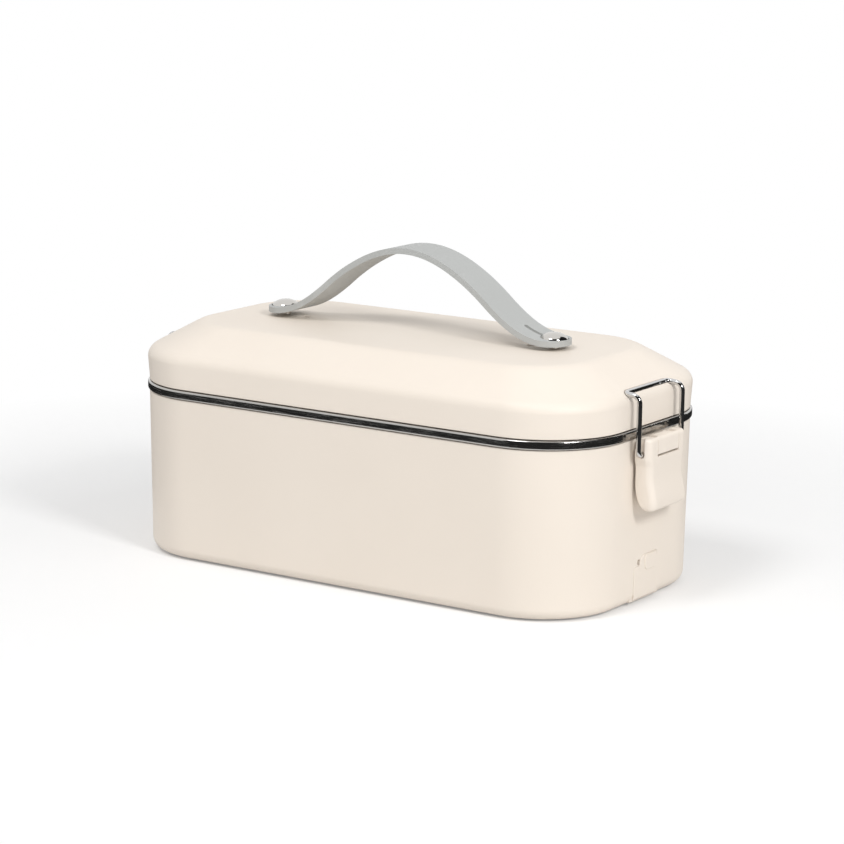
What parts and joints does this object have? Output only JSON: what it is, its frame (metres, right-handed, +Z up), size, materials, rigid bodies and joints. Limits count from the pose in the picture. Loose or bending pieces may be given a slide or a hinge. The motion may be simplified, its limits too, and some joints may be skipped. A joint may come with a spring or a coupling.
{
  "type": "electric lunch box",
  "caption": "Electric lunch box: casing with heated well and steel tray, lift-off lid held by wire clasps, strap handle, covered power inlet.",
  "frame": {"origin": "middle of the footprint, on the surface the box stands on", "axes": "+X along the box towards the end with the power inlet, +Y across the box, +Z up"},
  "size_m": [0.2614, 0.1276, 0.1431],
  "materials": {
    "cream_plastic": "satin moulded, very fine grain",
    "tray_steel": "brushed inside, polished rim",
    "well_aluminium": "drawn, satin",
    "fastener_steel": "zinc plated",
    "stud_steel": "polished",
    "wire_steel": "bright drawn",
    "strap_polymer": "matt, soft touch",
    "silicone": "matt translucent",
    "liner_plastic": "satin",
    "foot_rubber": "matt",
    "black_plastic": "fine grain",
    "heater_ceramic": "ceramic",
    "lead_sleeve": "glass fibre sleeve",
    "contact_brass": "plated"
  },
  "bodies": {
    "base": {"base_shell": "cream_plastic", "bottom_cover": "cream_plastic", "bottom_screws": "fastener_steel", "rubber_feet": "foot_rubber", "heater_well": "well_aluminium", "well_seal": "silicone", "well_screws": "fastener_steel", "heater_plate": "well_aluminium", "plate_nuts": "fastener_steel", "heater_block": "heater_ceramic", "heater_clamp": "fastener_steel", "clamp_screws": "fastener_steel", "thermostat": "black_plastic", "thermal_fuse": "heater_ceramic", "internal_leads": "lead_sleeve", "inlet_socket": "black_plastic", "contact_pins": "contact_brass", "inlet_screws": "fastener_steel", "inlet_cover_pin": "fastener_steel", "right_latch_bracket": "cream_plastic", "left_latch_bracket": "cream_plastic", "right_bracket_screws": "fastener_steel", "left_bracket_screws": "fastener_steel", "right_latch_pin": "fastener_steel", "left_latch_pin": "fastener_steel"},
    "tray": {"food_tray": "tray_steel"},
    "lid": {"lid_shell": "cream_plastic", "lid_liner": "liner_plastic", "lid_gasket": "silicone", "liner_screws": "fastener_steel", "handle_strap": "strap_polymer", "handle_studs": "stud_steel", "stud_spacers": "stud_steel", "stud_washers": "fastener_steel", "stud_nuts": "fastener_steel"},
    "inlet_flap": {"inlet_cover": "cream_plastic"},
    "right_lever": {"right_latch_lever": "cream_plastic"},
    "left_lever": {"left_latch_lever": "cream_plastic"},
    "right_loop": {"right_latch_wire": "wire_steel"},
    "left_loop": {"left_latch_wire": "wire_steel"}
  },
  "joints": [
    {"name": "lid_lift", "type": "slide", "parent": "base", "child": "lid", "axis": [0, 0, 1], "range_m": [0, 0.04]},
    {"name": "tray_lift", "type": "slide", "parent": "base", "child": "tray", "axis": [0, 0, 1], "range_m": [0, 0.018]},
    {"name": "right_lever_turn", "type": "hinge", "parent": "base", "child": "right_lever", "pos_m": [0.1244, 0, 0.0716], "axis": [0, -1, 0], "range_deg": [0, 80]},
    {"name": "right_loop_swing", "type": "hinge", "parent": "right_lever", "child": "right_loop", "pos_m": [0.1245, 0, 0.0677], "axis": [0, 1, 0], "range_deg": [0, 230]},
    {"name": "left_lever_turn", "type": "hinge", "parent": "base", "child": "left_lever", "pos_m": [-0.1244, 0, 0.0716], "axis": [0, 1, 0], "range_deg": [0, 80]},
    {"name": "left_loop_swing", "type": "hinge", "parent": "left_lever", "child": "left_loop", "pos_m": [-0.1245, 0, 0.0677], "axis": [0, -1, 0], "range_deg": [0, 230]},
    {"name": "inlet_cover_hinge", "type": "hinge", "parent": "base", "child": "inlet_flap", "pos_m": [0.11784, 0, 0.0042], "axis": [0, 1, 0], "range_deg": [0, 85]}
  ],
  "couplings": [
    {"joint": "tray_lift", "follows": "lid_lift", "ratio": 0.45},
    {"joint": "right_lever_turn", "follows": "lid_lift", "rad_per_m": 34.906},
    {"joint": "left_lever_turn", "follows": "lid_lift", "rad_per_m": 34.906},
    {"joint": "right_loop_swing", "follows": "lid_lift", "rad_per_m": 100.36},
    {"joint": "left_loop_swing", "follows": "lid_lift", "rad_per_m": 100.36}
  ]
}
